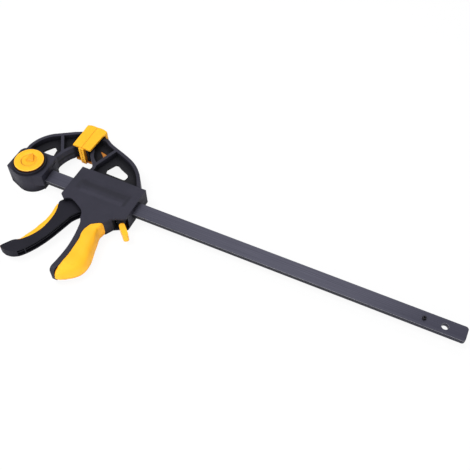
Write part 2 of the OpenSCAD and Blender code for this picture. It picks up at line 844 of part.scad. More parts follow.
module trigger() {
    color(charcoal) difference() {
        union() {
            slab(trigger_t) trigger_outline();
            across(pivot, fork_r, trigger_z);
            slab(trigger_t) translate([pivot[0] - fork_r, pivot[1] - 20]) square([2 * fork_r - 0.7, 20]);
            across([pivot[0] + 5.4, nose_y], nose_r, trigger_z);
        }
        difference() {
            slab(trigger_t - 2 * trigger_wall) channel_outline();
            slab(channel_rib_t) translate([-1, 0.2]) trigger_outline();
        }
        // the gap in the fork that the bar runs through
        slab(2 * fork_z) translate([pivot[0] - 30, -bar_w / 2 - 4]) square([60, 60]);
        across(pivot, trigger_pin_r + pivot_gap, trigger_z + 1);
        // seat for the insert
        slab(trigger_t + 1) insert_outline(0.02);
    }
}

// The soft strip on the finger side, sunk a little into the trigger
module insert_outline(grow) {
    sunk = 1;
    out = [-1, 0.35] / norm([-1, 0.35]);
    // how full the strip is along its length
    fullness = [
        [0, 0], [0.05, 0.41], [0.11, 0.64], [0.19, 0.72], [0.3, 0.76], [0.38, 0.77], [0.45, 0.9],
        [0.54, 1], [0.62, 0.91], [0.73, 0.81], [0.79, 0.69], [0.86, 0.4], [0.93, 0.1], [1, 0]
    ];
    front = [for (i = [6 : 43]) smooth(trigger_front(), 4)[i]];
    n = len(front) - 1;
    crown = [for (i = [0 : n]) front[i] + out * (insert_t - sunk) * lookup(i / n, fullness)];
    sink = [for (i = [n : -1 : 0]) front[i] - out * (sunk + grow) * pow(sin(180 * i / n), 0.5)];
    polygon(concat(crown, sink));
}

module trigger_insert() {
    color(yellow) slab(trigger_t - 0.8) insert_outline(0);
}

module trigger_pin() {
    color(steel) across(pivot, trigger_pin_r - 0.02, body_z - 1);
}

// ---------- drive and brake ----------

// A steel plate with a window that the bar runs through
module clutch_plate(x, y0, y1) {
    difference() {
        block(x, x + plate_t, y0, y1, -plate_z, plate_z);
        block(x - 1, x + plate_t + 1, -bar_w / 2 - plate_gap, bar_w / 2 + plate_gap,
              -bar_t / 2 - 0.4, bar_t / 2 + 0.4);
    }
}

module drive_plate() {
    color(steel) clutch_plate(drive_x, drive_y0, drive_y1);
}

module brake_plate() {
    color(steel) clutch_plate(brake_x, brake_y0, brake_y1);
}

module drive_spring() {
    l = drive_seat_x - drive_x - plate_t;
    color(steel) translate([drive_x + plate_t + 0.02, drive_spring_y, 0]) rotate([0, 90, 0])
        coil(drive_spring_r, drive_wire, l - 0.04, 6);
}

module brake_spring() {
    l = brake_x - brake_seat_x;
    color(steel) translate([brake_seat_x + 0.02, brake_spring_y, 0]) rotate([0, 90, 0])
        coil(brake_spring_r, brake_wire, l - 0.04, 4);
}

// ---------- release lever ----------

module release_lever() {
    tip = lever_pivot + tab_l * [cos(tab_turn), sin(tab_turn)];
    root = lever_pivot + 15.1 * [cos(tab_turn - 10.5), sin(tab_turn - 10.5)];
    color(yellow) difference() {
        union() {
            slab(lever_w) {
                translate(lever_pivot) circle(hub_out_r);
                hull() {
                    translate(root) circle(tab_t / 2 + 0.7);
                    translate(tip) circle(tab_t / 2);
                }
                // nose that pushes the brake plate's lower end
                hull() {
                    translate([brake_x + plate_t + 1.9, lever_pivot[1] - 3.6]) circle(1.6);
                    translate(lever_pivot + [0.5, -1.5]) circle(2);
                }
            }
            // neck between the hub and the tab, on the rear side
            translate([0, 0, -lever_w / 2]) linear_extrude(2.6) hull() {
                translate(lever_pivot) circle(hub_out_r - 1.5);
                translate(root) circle(2);
            }
        }
        across(lever_pivot, release_pin_r + pivot_gap, lever_w);
    }
}

module release_pin() {
    color(steel) across(lever_pivot, release_pin_r - 0.02, body_z - 1);
}

// ---------- nodes ----------

bar();
stop_pin();
fixed_jaw();
fixed_pad();
knob();
knob_ring();
lock_pin();
lock_spring();
front_shell();
rear_shell();
shell_screws();
moving_pad();
grip();
trigger();
trigger_insert();
trigger_pin();
drive_plate();
drive_spring();
brake_plate();
brake_spring();
release_lever();
release_pin();
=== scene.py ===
import json
import math

import bmesh
import bpy
from mathutils import Matrix, Vector


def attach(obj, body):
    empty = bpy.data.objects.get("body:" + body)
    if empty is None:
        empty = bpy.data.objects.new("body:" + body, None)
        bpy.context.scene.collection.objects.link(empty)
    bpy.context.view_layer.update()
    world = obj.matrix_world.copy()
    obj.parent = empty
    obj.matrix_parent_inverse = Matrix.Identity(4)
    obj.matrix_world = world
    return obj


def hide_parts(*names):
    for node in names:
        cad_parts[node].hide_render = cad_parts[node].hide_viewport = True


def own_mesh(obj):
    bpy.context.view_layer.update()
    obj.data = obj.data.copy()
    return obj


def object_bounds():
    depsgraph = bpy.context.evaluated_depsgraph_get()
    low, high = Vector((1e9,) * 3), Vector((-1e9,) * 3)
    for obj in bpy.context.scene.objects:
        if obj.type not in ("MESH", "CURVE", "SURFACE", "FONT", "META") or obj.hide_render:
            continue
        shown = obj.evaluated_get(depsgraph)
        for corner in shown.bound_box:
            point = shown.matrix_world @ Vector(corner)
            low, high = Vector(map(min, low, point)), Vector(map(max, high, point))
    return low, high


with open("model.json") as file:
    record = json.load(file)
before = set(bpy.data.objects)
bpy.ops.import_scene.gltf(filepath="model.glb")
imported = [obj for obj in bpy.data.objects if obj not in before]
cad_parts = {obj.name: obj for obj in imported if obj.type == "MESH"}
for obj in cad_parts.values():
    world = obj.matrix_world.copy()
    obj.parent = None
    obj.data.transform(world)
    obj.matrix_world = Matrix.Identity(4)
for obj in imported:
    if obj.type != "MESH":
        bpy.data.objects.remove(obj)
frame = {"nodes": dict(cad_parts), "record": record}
cad_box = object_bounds()
nodes = frame["nodes"]
MM = 0.001
bpy.context.scene.view_settings.view_transform = "Standard"

# Camera: a square image whose centre is the lens axis; angles in radians
EYE = Vector((0.373058, -0.362365, 0.572430))
TURN = 0.433303462
TILT = 0.943590030
ROLL = 0.002013
SENSOR_MM = 36
FRAME_PX = 470
FOCAL_PX = 694.6037
CLIP_NEAR, CLIP_FAR = 0.02, 20

# Floor and world
FLOOR_HALF, FLOOR_GAP = 5.0, 0.0001
FLOOR_COLOUR = (0.94, 0.94, 0.95)
FLOOR_SEEN_WHITE = 0.9
WORLD_LIGHT = 0.34
WHITE = 1.0

# Lamps: name, place, aim, size and watts
LAMPS = [
    ("key", (-0.35, -0.25, 1.3), (0.1, 0, 0), 0.6, 10),
    ("front", (0.25, -1.1, 0.45), (0.1, 0, 0), 0.8, 7),
    ("fill", (0.9, -0.7, 0.9), (0.3, 0, 0), 0.9, 5),
    ("back", (0.14, 0.6, 0.95), (0.28, 0, 0), 0.4, 3),
]

# Sizes from the part, in mm
BAR_HALF_W, BAR_END_X = 8.2, 440.8
HANDLE_X, HANDLE_Y, HANDLE_L = 58.2, -35.2, 66.3
PIVOT, TRIGGER_L = (33.0, 14.0), 115.0
KNOB_X = -38.0
LEVER_PIVOT, TAB_TURN = (85.3, -13.0), math.radians(-57.5)

# Rounded edges: the least angle, steps and shortest edge that gets one (degrees, mm)
EDGE_ANGLE, EDGE_STEPS, EDGE_SHORTEST = 28, 2, 0.25
CREASE, LOFT_CREASE, LATHE_CREASE, RIDGE_CREASE = 35, 42, 32, 40
LATHE_STEPS = 96


# ---------- camera, floor and light ----------

def make_camera():
    data = bpy.data.cameras.new("camera")
    data.sensor_width = SENSOR_MM
    data.lens = FOCAL_PX / FRAME_PX * SENSOR_MM
    data.clip_start, data.clip_end = CLIP_NEAR, CLIP_FAR
    camera = bpy.data.objects.new("camera", data)
    level = math.cos(TILT)
    back = Vector((math.sin(TURN) * level, -math.cos(TURN) * level, math.sin(TILT)))
    right = Vector((math.cos(TURN), math.sin(TURN), 0))
    up = back.cross(right)
    c, s = math.cos(ROLL), math.sin(ROLL)
    rolled_right = right * c + up * s
    rolled_up = up * c - right * s
    rotation = Matrix((rolled_right, rolled_up, back)).transposed()
    camera.matrix_world = Matrix.Translation(EYE) @ rotation.to_4x4()
    bpy.context.scene.collection.objects.link(camera)
    bpy.context.scene.camera = camera


def node_tree(owner):
    owner.use_nodes = True
    tree = owner.node_tree
    tree.nodes.clear()
    return tree


def new_shader(tree, kind, **values):
    """A node of this kind with these values on its sockets."""
    node = tree.nodes.new(kind)
    for name, value in values.items():
        node.inputs[name].default_value = value
    return node


def mix_by(tree, share, a, b, out):
    """a where share is 0 and b where it is 1, sent to the output node."""
    mix = tree.nodes.new("ShaderNodeMixShader")
    for socket, source in zip(mix.inputs, (share, a.outputs[0], b.outputs[0])):
        tree.links.new(source, socket)
    tree.links.new(mix.outputs[0], out.inputs[0])


def background_ray(tree):
    """1 for what the camera, a reflection or a glass sees directly, 0 for light."""
    path = tree.nodes.new("ShaderNodeLightPath")
    share = path.outputs["Is Camera Ray"]
    for ray in ("Is Glossy Ray", "Is Transmission Ray"):
        either = tree.nodes.new("ShaderNodeMath")
        either.operation = "MAXIMUM"
        tree.links.new(share, either.inputs[0])
        tree.links.new(path.outputs[ray], either.inputs[1])
        share = either.outputs[0]
    return share


def make_world():
    world = bpy.data.worlds.new("studio")
    bpy.context.scene.world = world
    tree = node_tree(world)
    out = tree.nodes.new("ShaderNodeOutputWorld")
    white = (WHITE, WHITE, WHITE, 1)
    light = new_shader(tree, "ShaderNodeBackground", Color=white, Strength=WORLD_LIGHT)
    seen = new_shader(tree, "ShaderNodeBackground", Color=white, Strength=WHITE)
    mix_by(tree, background_ray(tree), light, seen, out)


def make_floor():
    z = cad_box[0][2] - FLOOR_GAP
    mesh = bpy.data.meshes.new("floor")
    corners = [(-1, -1), (1, -1), (1, 1), (-1, 1)]
    mesh.from_pydata([(FLOOR_HALF * x, FLOOR_HALF * y, z) for x, y in corners], [], [(0, 1, 2, 3)])
    floor = bpy.data.objects.new("floor", mesh)
    bpy.context.scene.collection.objects.link(floor)
    material = bpy.data.materials.new("floor_white")
    tree = node_tree(material)
    out = tree.nodes.new("ShaderNodeOutputMaterial")
    matte = new_shader(tree, "ShaderNodeBsdfDiffuse", Color=(*FLOOR_COLOUR, 1))
    glow = new_shader(tree, "ShaderNodeEmission", Color=(WHITE, WHITE, WHITE, 1), Strength=WHITE)
    share = tree.nodes.new("ShaderNodeMath")
    share.operation = "MULTIPLY"
    share.inputs[1].default_value = FLOOR_SEEN_WHITE
    tree.links.new(background_ray(tree), share.inputs[0])
    mix_by(tree, share.outputs[0], matte, glow, out)
    mesh.materials.append(material)


def make_lamp(name, place, aim, size, watts):
    data = bpy.data.lights.new(name, "AREA")
    data.shape = "DISK"
    data.size = size
    data.energy = watts
    lamp = bpy.data.objects.new(name, data)
    lamp.location = place
    lamp.rotation_euler = (Vector(aim) - Vector(place)).to_track_quat("-Z", "Y").to_euler()
    bpy.context.scene.collection.objects.link(lamp)


# ---------- materials ----------

# Linear colours. A pair is the two tones that a noise mixes.
CHARCOAL = ((0.0200, 0.0195, 0.0310), (0.0265, 0.0255, 0.0400))
CHARCOAL_RECESS_SHADE = (0.002, 0.002, 0.004)
CHARCOAL_SLOPE_SHADE = (0.007, 0.007, 0.011)
CHARCOAL_LIT = (0.055, 0.053, 0.078)
CHARCOAL_INSIDE_SHADE = (0.001, 0.001, 0.002)
CHARCOAL_COLLAR_SHADE = (0.004, 0.002, 0.002)
CHARCOAL_WEB_SHADE = (0.004, 0.004, 0.006)
# Painted highlight for the rounded edges
CHARCOAL_EDGE_HIGHLIGHT = (0.075, 0.073, 0.100)
YELLOW = ((0.93, 0.435, 0.016), (0.98, 0.485, 0.023))
YELLOW_SMUDGE = (0.80, 0.34, 0.010)
YELLOW_RECESS_SHADE = (0.36, 0.085, 0.002)
KNOB_EDGE_HIGHLIGHT = (1.0, 0.66, 0.16)
KNOB_RIDGE_SHADE = (0.86, 0.27, 0.006)
KNOB_DISH_SHADE = (0.42, 0.11, 0.003)
KNOB_WALL_SHADE = (0.035, 0.007, 0.003)
LEVER_SHADE = (0.012, 0.004, 0.002)
PAD_SEAM = (0.40, 0.12, 0.004)
PAD_WINDOW = (0.42, 0.14, 0.034)
BAR = ((0.040, 0.040, 0.058), (0.070, 0.069, 0.094))
BAR_PATCH = (0.042, 0.042, 0.060)
BAR_SIDE = (0.014, 0.014, 0.020)
BAR_END_SHADE = (0.026, 0.026, 0.042)
# Painted highlight for the bar's rounded edges
BAR_EDGE_HIGHLIGHT = (0.30, 0.30, 0.32)
ZINC = ((0.42, 0.43, 0.45), (0.60, 0.60, 0.61))
BLACKENED = ((0.010, 0.010, 0.012), (0.022, 0.021, 0.026))


class Shader:
    """A Principled material with short calls for the nodes that give it detail."""

    def __init__(self, name):
        self.material = bpy.data.materials.new(name)
        self.tree = node_tree(self.material)
        out = self.tree.nodes.new("ShaderNodeOutputMaterial")
        self.bsdf = self.tree.nodes.new("ShaderNodeBsdfPrincipled")
        self.link(self.bsdf.outputs[0], out.inputs[0])
        self.coords = self.tree.nodes.new("ShaderNodeTexCoord").outputs["Object"]

    def link(self, a, b):
        self.tree.links.new(a, b)

    def stretched(self, scale):
        node = self.tree.nodes.new("ShaderNodeMapping")
        node.inputs["Scale"].default_value = scale
        self.link(self.coords, node.inputs["Vector"])
        return node.outputs["Vector"]

    def noise(self, scale, detail=3.0, vector=None, rough=0.5):
        node = self.tree.nodes.new("ShaderNodeTexNoise")
        node.inputs["Scale"].default_value = scale
        node.inputs["Detail"].default_value = detail
        node.inputs["Roughness"].default_value = rough
        self.link(vector or self.coords, node.inputs["Vector"])
        return node.outputs["Fac"]

    def ramp(self, value, low, high, a, b):
        """value from low..high mapped to a..b, clamped."""
        node = self.tree.nodes.new("ShaderNodeMapRange")
        node.inputs["From Min"].default_value = low
        node.inputs["From Max"].default_value = high
        node.inputs["To Min"].default_value = a
        node.inputs["To Max"].default_value = b
        self.link(value, node.inputs["Value"])
        return node.outputs["Result"]

    def varied(self, noise, low, high):
        """A noise's middle range mapped to low..high."""
        return self.ramp(noise, 0.3, 0.7, low, high)

    def math(self, operation, a, b):
        node = self.tree.nodes.new("ShaderNodeMath")
        node.operation = operation
        for socket, value in zip(node.inputs, (a, b)):
            if isinstance(value, (int, float)):
                socket.default_value = value
            else:
                self.link(value, socket)
        return node.outputs[0]

    def blend(self, share, a, b):
        node = self.tree.nodes.new("ShaderNodeMix")
        node.data_type = "RGBA"
        self.link(share, node.inputs["Factor"])
        for socket, value in zip((node.inputs[6], node.inputs[7]), (a, b)):
            if isinstance(value, tuple):
                socket.default_value = (*value, 1)
            else:
                self.link(value, socket)
        return node.outputs[2]

    def mottled(self, noise, tones):
        """Two tones mixed by a noise."""
        return self.blend(self.varied(noise, 0.0, 1.0), *tones)

    def tinted(self, colour, mask, share, tint):
        """colour, turned by share to tint where mask is 1."""
        return self.blend(self.math("MULTIPLY", mask, share), colour, tint)

    def rim(self):
        """1 on the rounded edges, which carry the face attribute of this name."""
        node = self.tree.nodes.new("ShaderNodeAttribute")
        node.attribute_name = "rim"
        return node.outputs["Fac"]

    def openness(self, distance):
        """1 on open faces, towards 0 in recesses and corners."""
        node = self.tree.nodes.new("ShaderNodeAmbientOcclusion")
        node.samples = 8
        node.inputs["Distance"].default_value = distance
        return node.outputs["AO"]

    def place(self):
        """The part's own x, y and z at a point of the surface, in mm."""
        scale = self.tree.nodes.new("ShaderNodeVectorMath")
        scale.operation = "SCALE"
        scale.inputs["Scale"].default_value = 1000
        self.link(self.coords, scale.inputs[0])
        split = self.tree.nodes.new("ShaderNodeSeparateXYZ")
        self.link(scale.outputs[0], split.inputs[0])
        return split.outputs[0], split.outputs[1], split.outputs[2]

    def absolute(self, value):
        return self.math("ABSOLUTE", value, 0.0)

    def either(self, a, b):
        return self.math("MAXIMUM", a, b)

    def from_knob(self, x, y):
        """The square of the distance from the knob's axis."""
        along = self.math("ADD", x, -KNOB_X)
        return self.math("ADD", self.math("MULTIPLY", along, along), self.math("MULTIPLY", y, y))

    def within(self, value, low, high, soft):
        """1 between low and high, falling to 0 over a soft border outside them."""
        return self.math("MULTIPLY", self.ramp(value, low - soft, low, 0.0, 1.0),
                         self.ramp(value, high, high + soft, 1.0, 0.0))

    def box(self, sides, soft):
        """1 inside a box given as (value, low, high) for each side."""
        share = None
        for value, low, high in sides:
            side = self.within(value, low, high, soft)
            share = side if share is None else self.math("MULTIPLY", share, side)
        return share

    def bump(self, height, distance, strength, after=None):
        node = self.tree.nodes.new("ShaderNodeBump")
        node.inputs["Distance"].default_value = distance
        node.inputs["Strength"].default_value = strength
        self.link(height, node.inputs["Height"])
        if after is not None:
            self.link(after, node.inputs["Normal"])
        return node.outputs["Normal"]

    def set(self, **values):
        for name, value in values.items():
            socket = self.bsdf.inputs[name.replace("_", " ")]
            if isinstance(value, (int, float, tuple)):
                socket.default_value = value
            else:
                self.link(value, socket)


def charcoal_plastic(name, level=1.0, specular=0.17, detail=None):
    """Moulded plastic: grain, painted shade in recesses and on the webs, and painted highlights on
    the edges.
    """
    m = Shader(name)
    tones = [tuple(level * c for c in tone) for tone in CHARCOAL]
    tint = m.mottled(m.noise(38, 4), tones)
    # Painted shade: darker where the part's own occlusion closes in, in recesses and corners.
    open_part = m.ramp(m.openness(0.014), 0.42, 0.97, 0.0, 1.0)
    colour = m.blend(open_part, CHARCOAL_RECESS_SHADE, tint)
    if detail is not None:
        colour = detail(m, colour)
    _, y, z = m.place()
    # Painted shade on the arms' recessed webs, the floors between their rims.
    web_shade = m.box([(y, 20.5, 80), (m.absolute(z), -1, 1.35)], 0.1)
    colour = m.tinted(colour, web_shade, 0.9, CHARCOAL_WEB_SHADE)
    # Painted highlight on the rounded edges, broken up by noise and kept off recesses.
    edge_highlight = m.math("MULTIPLY", m.rim(), m.ramp(m.noise(160, 5), 0.35, 0.65, 0.35, 1.0))
    edge_highlight = m.math("MULTIPLY", edge_highlight, open_part)
    colour = m.tinted(colour, edge_highlight, 0.55, CHARCOAL_EDGE_HIGHLIGHT)
    closed_part = m.ramp(open_part, 0.0, 1.0, 0.35, 0.0)
    roughness = m.math("ADD", m.varied(m.noise(240, 3), 0.46, 0.60), closed_part)
    m.set(Base_Color=colour, Roughness=roughness, Specular_IOR_Level=specular)
    m.set(Normal=m.bump(m.noise(2600, 2, rough=0.6), 0.00006, 0.55))
    return m.material


def shell_detail(m, colour):
    """Painted shade on the panel's slopes, painted light on a lower foot, and painted shade, almost
    black, inside the body and its pocket.
    """
    x, y, z = m.place()
    height = m.absolute(z)
    panel, inner = (height, 8.0, 10.5), (height, -1, 7.45)
    # Painted shade on the panel's upper, right and left slopes.
    upper = m.box([(x, 25, 77), (y, 2.2, 5.2), panel], 3.5)
    right = m.box([(x, 80.5, 82), (y, -6, 5), panel], 3.0)
    left = m.box([(x, 23.5, 26), (y, -5, 4), panel], 2.5)
    slope_shade = m.either(m.either(upper, right), m.math("MULTIPLY", left, 0.7))
    colour = m.tinted(colour, slope_shade, 0.5, CHARCOAL_SLOPE_SHADE)
    # Painted light on the panel's lower foot.
    foot = m.box([(x, 30, 78), (y, -8, -5), panel], 2.5)
    colour = m.tinted(colour, foot, 0.25, CHARCOAL_LIT)
    # Painted shade, almost black, on the faces inside the shells and the lever's pocket.
    body = m.box([(x, 17.7, 92.2), (y, -21, 18.3), inner], 0.05)
    pocket = m.box([(x, 79.1, 92.2), (y, -33, -21), inner], 0.05)
    return m.tinted(colour, m.either(body, pocket), 0.9, CHARCOAL_INSIDE_SHADE)


def jaw_detail(m, colour):
    """Painted shade: the collar round the knob, under the knob's edge, is almost black."""
    x, y, z = m.place()
    collar_shade = m.box([(m.from_knob(x, y), 16 ** 2, 17.6 ** 2), (z, 12.7, 18)], 0.6)
    return m.tinted(colour, collar_shade, 0.85, CHARCOAL_COLLAR_SHADE)


def yellow_surface(name, roughness, grain_scale, grain_height, detail=None):
    """Yellow plastic or rubber: clouds, smudges, brown painted shade in recesses, and grain."""
    m = Shader(name)
    cloud = m.noise(45, 4)
    smudge = m.ramp(m.noise(130, 6, rough=0.65), 0.62, 0.78, 0.0, 0.35)
    colour = m.blend(smudge, m.mottled(cloud, YELLOW), YELLOW_SMUDGE)
    # Painted shade: brown where the part's own occlusion closes in, in recesses and corners.
    open_part = m.ramp(m.openness(0.010), 0.36, 0.95, 0.0, 1.0)
    colour = m.blend(open_part, YELLOW_RECESS_SHADE, colour)
    if detail is not None:
        colour = detail(m, colour)
    m.set(Base_Color=colour, Roughness=m.varied(m.noise(300, 3), *roughness),
          Specular_IOR_Level=0.2)
    grain = m.bump(m.noise(grain_scale, 2), grain_height, 0.5)
    m.set(Normal=m.bump(cloud, 0.0003, 0.15, grain))
    return m.material


def knob_detail(m, colour):
    """Painted shade on the side wall under the knob's edge, a painted highlight on the edge, and
    painted shade on the dish's near wall and on the ridge.
    """
    x, y, z = m.place()
    # Painted highlight on the knob's rounded edge.
    colour = m.tinted(colour, m.within(z, 16.85, 17.05, 0.04), 0.25, KNOB_EDGE_HIGHLIGHT)
    # Painted shade: the ridge turned deeper orange.
    colour = m.tinted(colour, m.ramp(z, 17.12, 17.3, 0.0, 1.0), 0.6, KNOB_RIDGE_SHADE)
    # Painted shade on the dish's wall, strongest on the near (-y) side.
    reach = m.from_knob(x, y)
    dish_shade = m.math("MULTIPLY", m.box([(z, 16.12, 17.02), (reach, 7.7 ** 2, 9.2 ** 2)], 0.03),
                       m.ramp(y, -4.5, -1.0, 0.8, 0.1))
    colour = m.blend(dish_shade, colour, KNOB_DISH_SHADE)
    # Painted shade, dark brown, on the knob's side wall below its edge.
    outside = m.ramp(reach, 12 ** 2, 12.1 ** 2, 0.0, 1.0)
    wall_shade = m.math("MULTIPLY", outside, m.ramp(z, 16.5, 16.85, 1.0, 0.0))
    return m.blend(wall_shade, colour, KNOB_WALL_SHADE)


def lever_detail(m, colour):
    """The part of the lever that lies in the pocket is in shade."""
    _, y, _ = m.place()
    return m.tinted(colour, m.ramp(y, -25.0, -22.0, 0.0, 1.0), 0.95, LEVER_SHADE)


def pad_detail(m, colour):
    """Dirt in the seam where the pads meet, and shade in the arm's small window."""
    x, y, z = m.place()
    seam = m.ramp(m.absolute(x), 0.15, 0.75, 0.45, 0.0)
    colour = m.blend(seam, colour, PAD_SEAM)
    window = m.box([(x, 13.6, 30), (y, 43, 56.5), (z, -5, 5)], 0.2)
    return m.tinted(colour, window, 0.8, PAD_WINDOW)


def bar_metal():
    """Dark steel with lengthwise streaks, darker sides and end face, painted shade growing towards
    the free end, and painted highlights on the edges.
    """
    m = Shader("bar_steel_finish")
    streaks = m.noise(90, 5, m.stretched((0.04, 12, 12)), 0.65)
    fine = m.noise(500, 3, m.stretched((0.03, 6, 6)), 0.65)
    patches = m.ramp(m.noise(14, 4), 0.35, 0.7, 0.0, 1.0)
    colour = m.tinted(m.mottled(streaks, BAR), patches, 0.35, BAR_PATCH)
    x, y, _ = m.place()
    side = m.ramp(m.absolute(y), BAR_HALF_W - 0.2, BAR_HALF_W - 0.05, 0.0, 1.0)
    end = m.ramp(x, BAR_END_X - 1.0, BAR_END_X - 0.6, 0.0, 1.0)
    colour = m.tinted(colour, m.either(side, end), 0.8, BAR_SIDE)
    # Painted shade: darker towards the free end.
    colour = m.blend(m.ramp(x, 330, 425, 0.0, 0.5), colour, BAR_END_SHADE)
    # Painted highlight on the rounded edges.
    colour = m.tinted(colour, m.rim(), 0.6, BAR_EDGE_HIGHLIGHT)
    m.set(Base_Color=colour, Metallic=0.55, Specular_IOR_Level=0.25,
          Roughness=m.varied(fine, 0.42, 0.60))
    m.set(Normal=m.bump(fine, 0.00004, 0.45))
    return m.material


def bright_metal(name, tones):
    """Turned or plated steel with fine scratches."""
    m = Shader(name)
    colour = m.mottled(m.noise(220, 4), tones)
    scratch = m.noise(900, 3, m.stretched((1, 1, 0.1)))
    m.set(Base_Color=colour, Metallic=0.95, Roughness=m.varied(scratch, 0.28, 0.46))
    m.set(Normal=m.bump(scratch, 0.00003, 0.4))
    return m.material


# ---------- mesh helpers ----------

def new_piece(name, mesh, material, body, slot, *replaced):
    piece = bpy.data.objects.new(name, mesh)
    bpy.context.scene.collection.objects.link(piece)
    mesh.materials.clear()
    mesh.materials.append(material)
    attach(piece, body)
    if replaced:
        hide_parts(*replaced)
    return piece


def smooth_faces(mesh, crease=CREASE):
    for polygon in mesh.polygons:
        polygon.use_smooth = True
    mesh.set_sharp_from_angle(angle=math.radians(crease))


def closed_mesh(name, points, faces, crease, edit=None):
    """A mesh from points in mm with its faces turned outwards. edit may change it after that."""
    mesh = bpy.data.meshes.new(name)
    mesh.from_pydata([tuple(c * MM for c in point) for point in points], [], faces)
    work = bmesh.new()
    work.from_mesh(mesh)
    bmesh.ops.remove_doubles(work, verts=work.verts, dist=0.00002)
    bmesh.ops.recalc_face_normals(work, faces=work.faces)
    if edit is not None:
        edit(work)
    work.to_mesh(mesh)
    work.free()
    smooth_faces(mesh, crease)
    return mesh


def bevel(work, edges, radius, steps, slide):
    """Round these edges off by radius mm, and return the new faces."""
    return bmesh.ops.bevel(
        work, geom=edges, offset=radius * MM, offset_type="OFFSET", segments=steps, profile=0.5,
        affect="EDGES", clamp_overlap=True, loop_slide=slide
    )["faces"]


def sharp_edges(work, skip):
    """The edges that are rounded: between two faces, long and sharp enough, and not skipped."""
    for edge in work.edges:
        if len(edge.link_faces) != 2 or edge.calc_length() < EDGE_SHORTEST * MM:
            continue
        if edge.calc_face_angle(0) < math.radians(EDGE_ANGLE):
            continue
        middle = (edge.verts[0].co + edge.verts[1].co) / 2 / MM
        if skip is None or not skip(middle):
            yield edge


def moulded(node, material, body, slot, radius, skip=None, reshape=None):
    """A copy of a CAD node with its edges rounded off by radius mm."""
    mesh = nodes[node].data.copy()
    mesh.name = node + "_form"
    work = bmesh.new()
    work.from_mesh(mesh)
    rim = work.faces.layers.float.new("rim")
    bmesh.ops.remove_doubles(work, verts=work.verts, dist=0.000002)
    bmesh.ops.dissolve_limit(
        work, angle_limit=math.radians(0.5), verts=work.verts, edges=work.edges, delimit=set()
    )
    if reshape is not None:
        for vertex in work.verts:
            reshape(vertex)
    for face in bevel(work, list(sharp_edges(work, skip)), radius, EDGE_STEPS, True):
        face[rim] = 1.0
    work.to_mesh(mesh)
    work.free()
    smooth_faces(mesh)
    piece = new_piece(node + "_moulding", mesh, material, body, slot, node)
    flat = piece.modifiers.new("flat_faces", "WEIGHTED_NORMAL")
    flat.keep_sharp = True
    flat.weight = 80
    bpy.context.view_layer.update()
    evaluated = piece.evaluated_get(bpy.context.evaluated_depsgraph_get())
    shaped = bpy.data.meshes.new_from_object(evaluated)
    piece.modifiers.clear()
    piece.data = shaped


# ---------- smooth curves and lofts ----------

def spline(knots, per_span=10):
    """Points of a smooth curve through the knots, with per_span steps between two of them."""
    points = []
    last = len(knots) - 1
    for i in range(last):
        a, b, c, d = (Vector(knots[max(0, min(last, j))]) for j in (i - 1, i, i + 1, i + 2))
        for k in range(per_span):
            t = k / per_span
            points.append(0.5 * (2 * b + (c - a) * t + (2 * a - 5 * b + 4 * c - d) * t ** 2
                                 + (3 * b - a - 3 * c + d) * t ** 3))
    points.append(Vector(knots[last]))
    return points


def evenly(points, count):
    """count points at equal steps along a polyline."""
    steps = [0.0]
    for a, b in zip(points, points[1:]):
        steps.append(steps[-1] + (b - a).length)
    found, j = [], 0
    for i in range(count):
        want = steps[-1] * i / (count - 1)
        while j < len(points) - 2 and steps[j + 1] < want:
            j += 1
        span = steps[j + 1] - steps[j]
        share = (want - steps[j]) / span if span else 0
        found.append(points[j].lerp(points[j + 1], min(1, share)))
    return found


def between(table, x):
    """Smooth value at x from (x, value) pairs."""
    for (x0, v0), (x1, v1) in zip(table, table[1:]):
        if x <= x1:
            t = max(0, (x - x0) / (x1 - x0))
            return v0 + (v1 - v0) * t * t * (3 - 2 * t)
    return table[-1][1]


def loft(name, rings):
    """A closed mesh through rings of points in mm, its ends closed by fans."""
    count = len(rings[0])
    faces = []
    for r in range(len(rings) - 1):
        for k in range(count):
            n = (k + 1) % count
            faces.append((r * count + k, r * count + n, (r + 1) * count + n, (r + 1) * count + k))
    for start, order in ((0, 1), ((len(rings) - 1) * count, -1)):
        faces.append(tuple(range(start, start + count))[::-order])
    return closed_mesh(name, [point for ring in rings for point in ring], faces, LOFT_CREASE)


def lathe(name, profile, centre):
    """A closed mesh turned from (radius, z) points in mm that start and end on the axis."""
    count = LATHE_STEPS
    points, faces = [], []
    for radius, z in profile[1:-1]:
        for k in range(count):
            angle = 2 * math.pi * k / count
            points.append((centre + radius * math.cos(angle), radius * math.sin(angle), z))
    for ring in range(len(profile) - 3):
        low, high = ring * count, (ring + 1) * count
        for k in range(count):
            n = (k + 1) % count
            faces.append((low + k, high + k, high + n, low + n))
    last = (len(profile) - 3) * count
    for start, z in ((0, profile[0][1]), (last, profile[-1][1])):
        tip = len(points)
        points.append((centre, 0, z))
        for k in range(count):
            faces.append((start + k, start + (k + 1) % count, tip))
    return closed_mesh(name, points, faces, LATHE_CREASE)


def power(value, exponent):
    return math.copysign(abs(value) ** exponent, value)


# ---------- pieces ----------

def handle_line(points):
    """A curve through points given as mm behind the spine's line and mm below the corner."""
    return spline([Vector((HANDLE_X + x, HANDLE_Y - y)) for x, y in points])


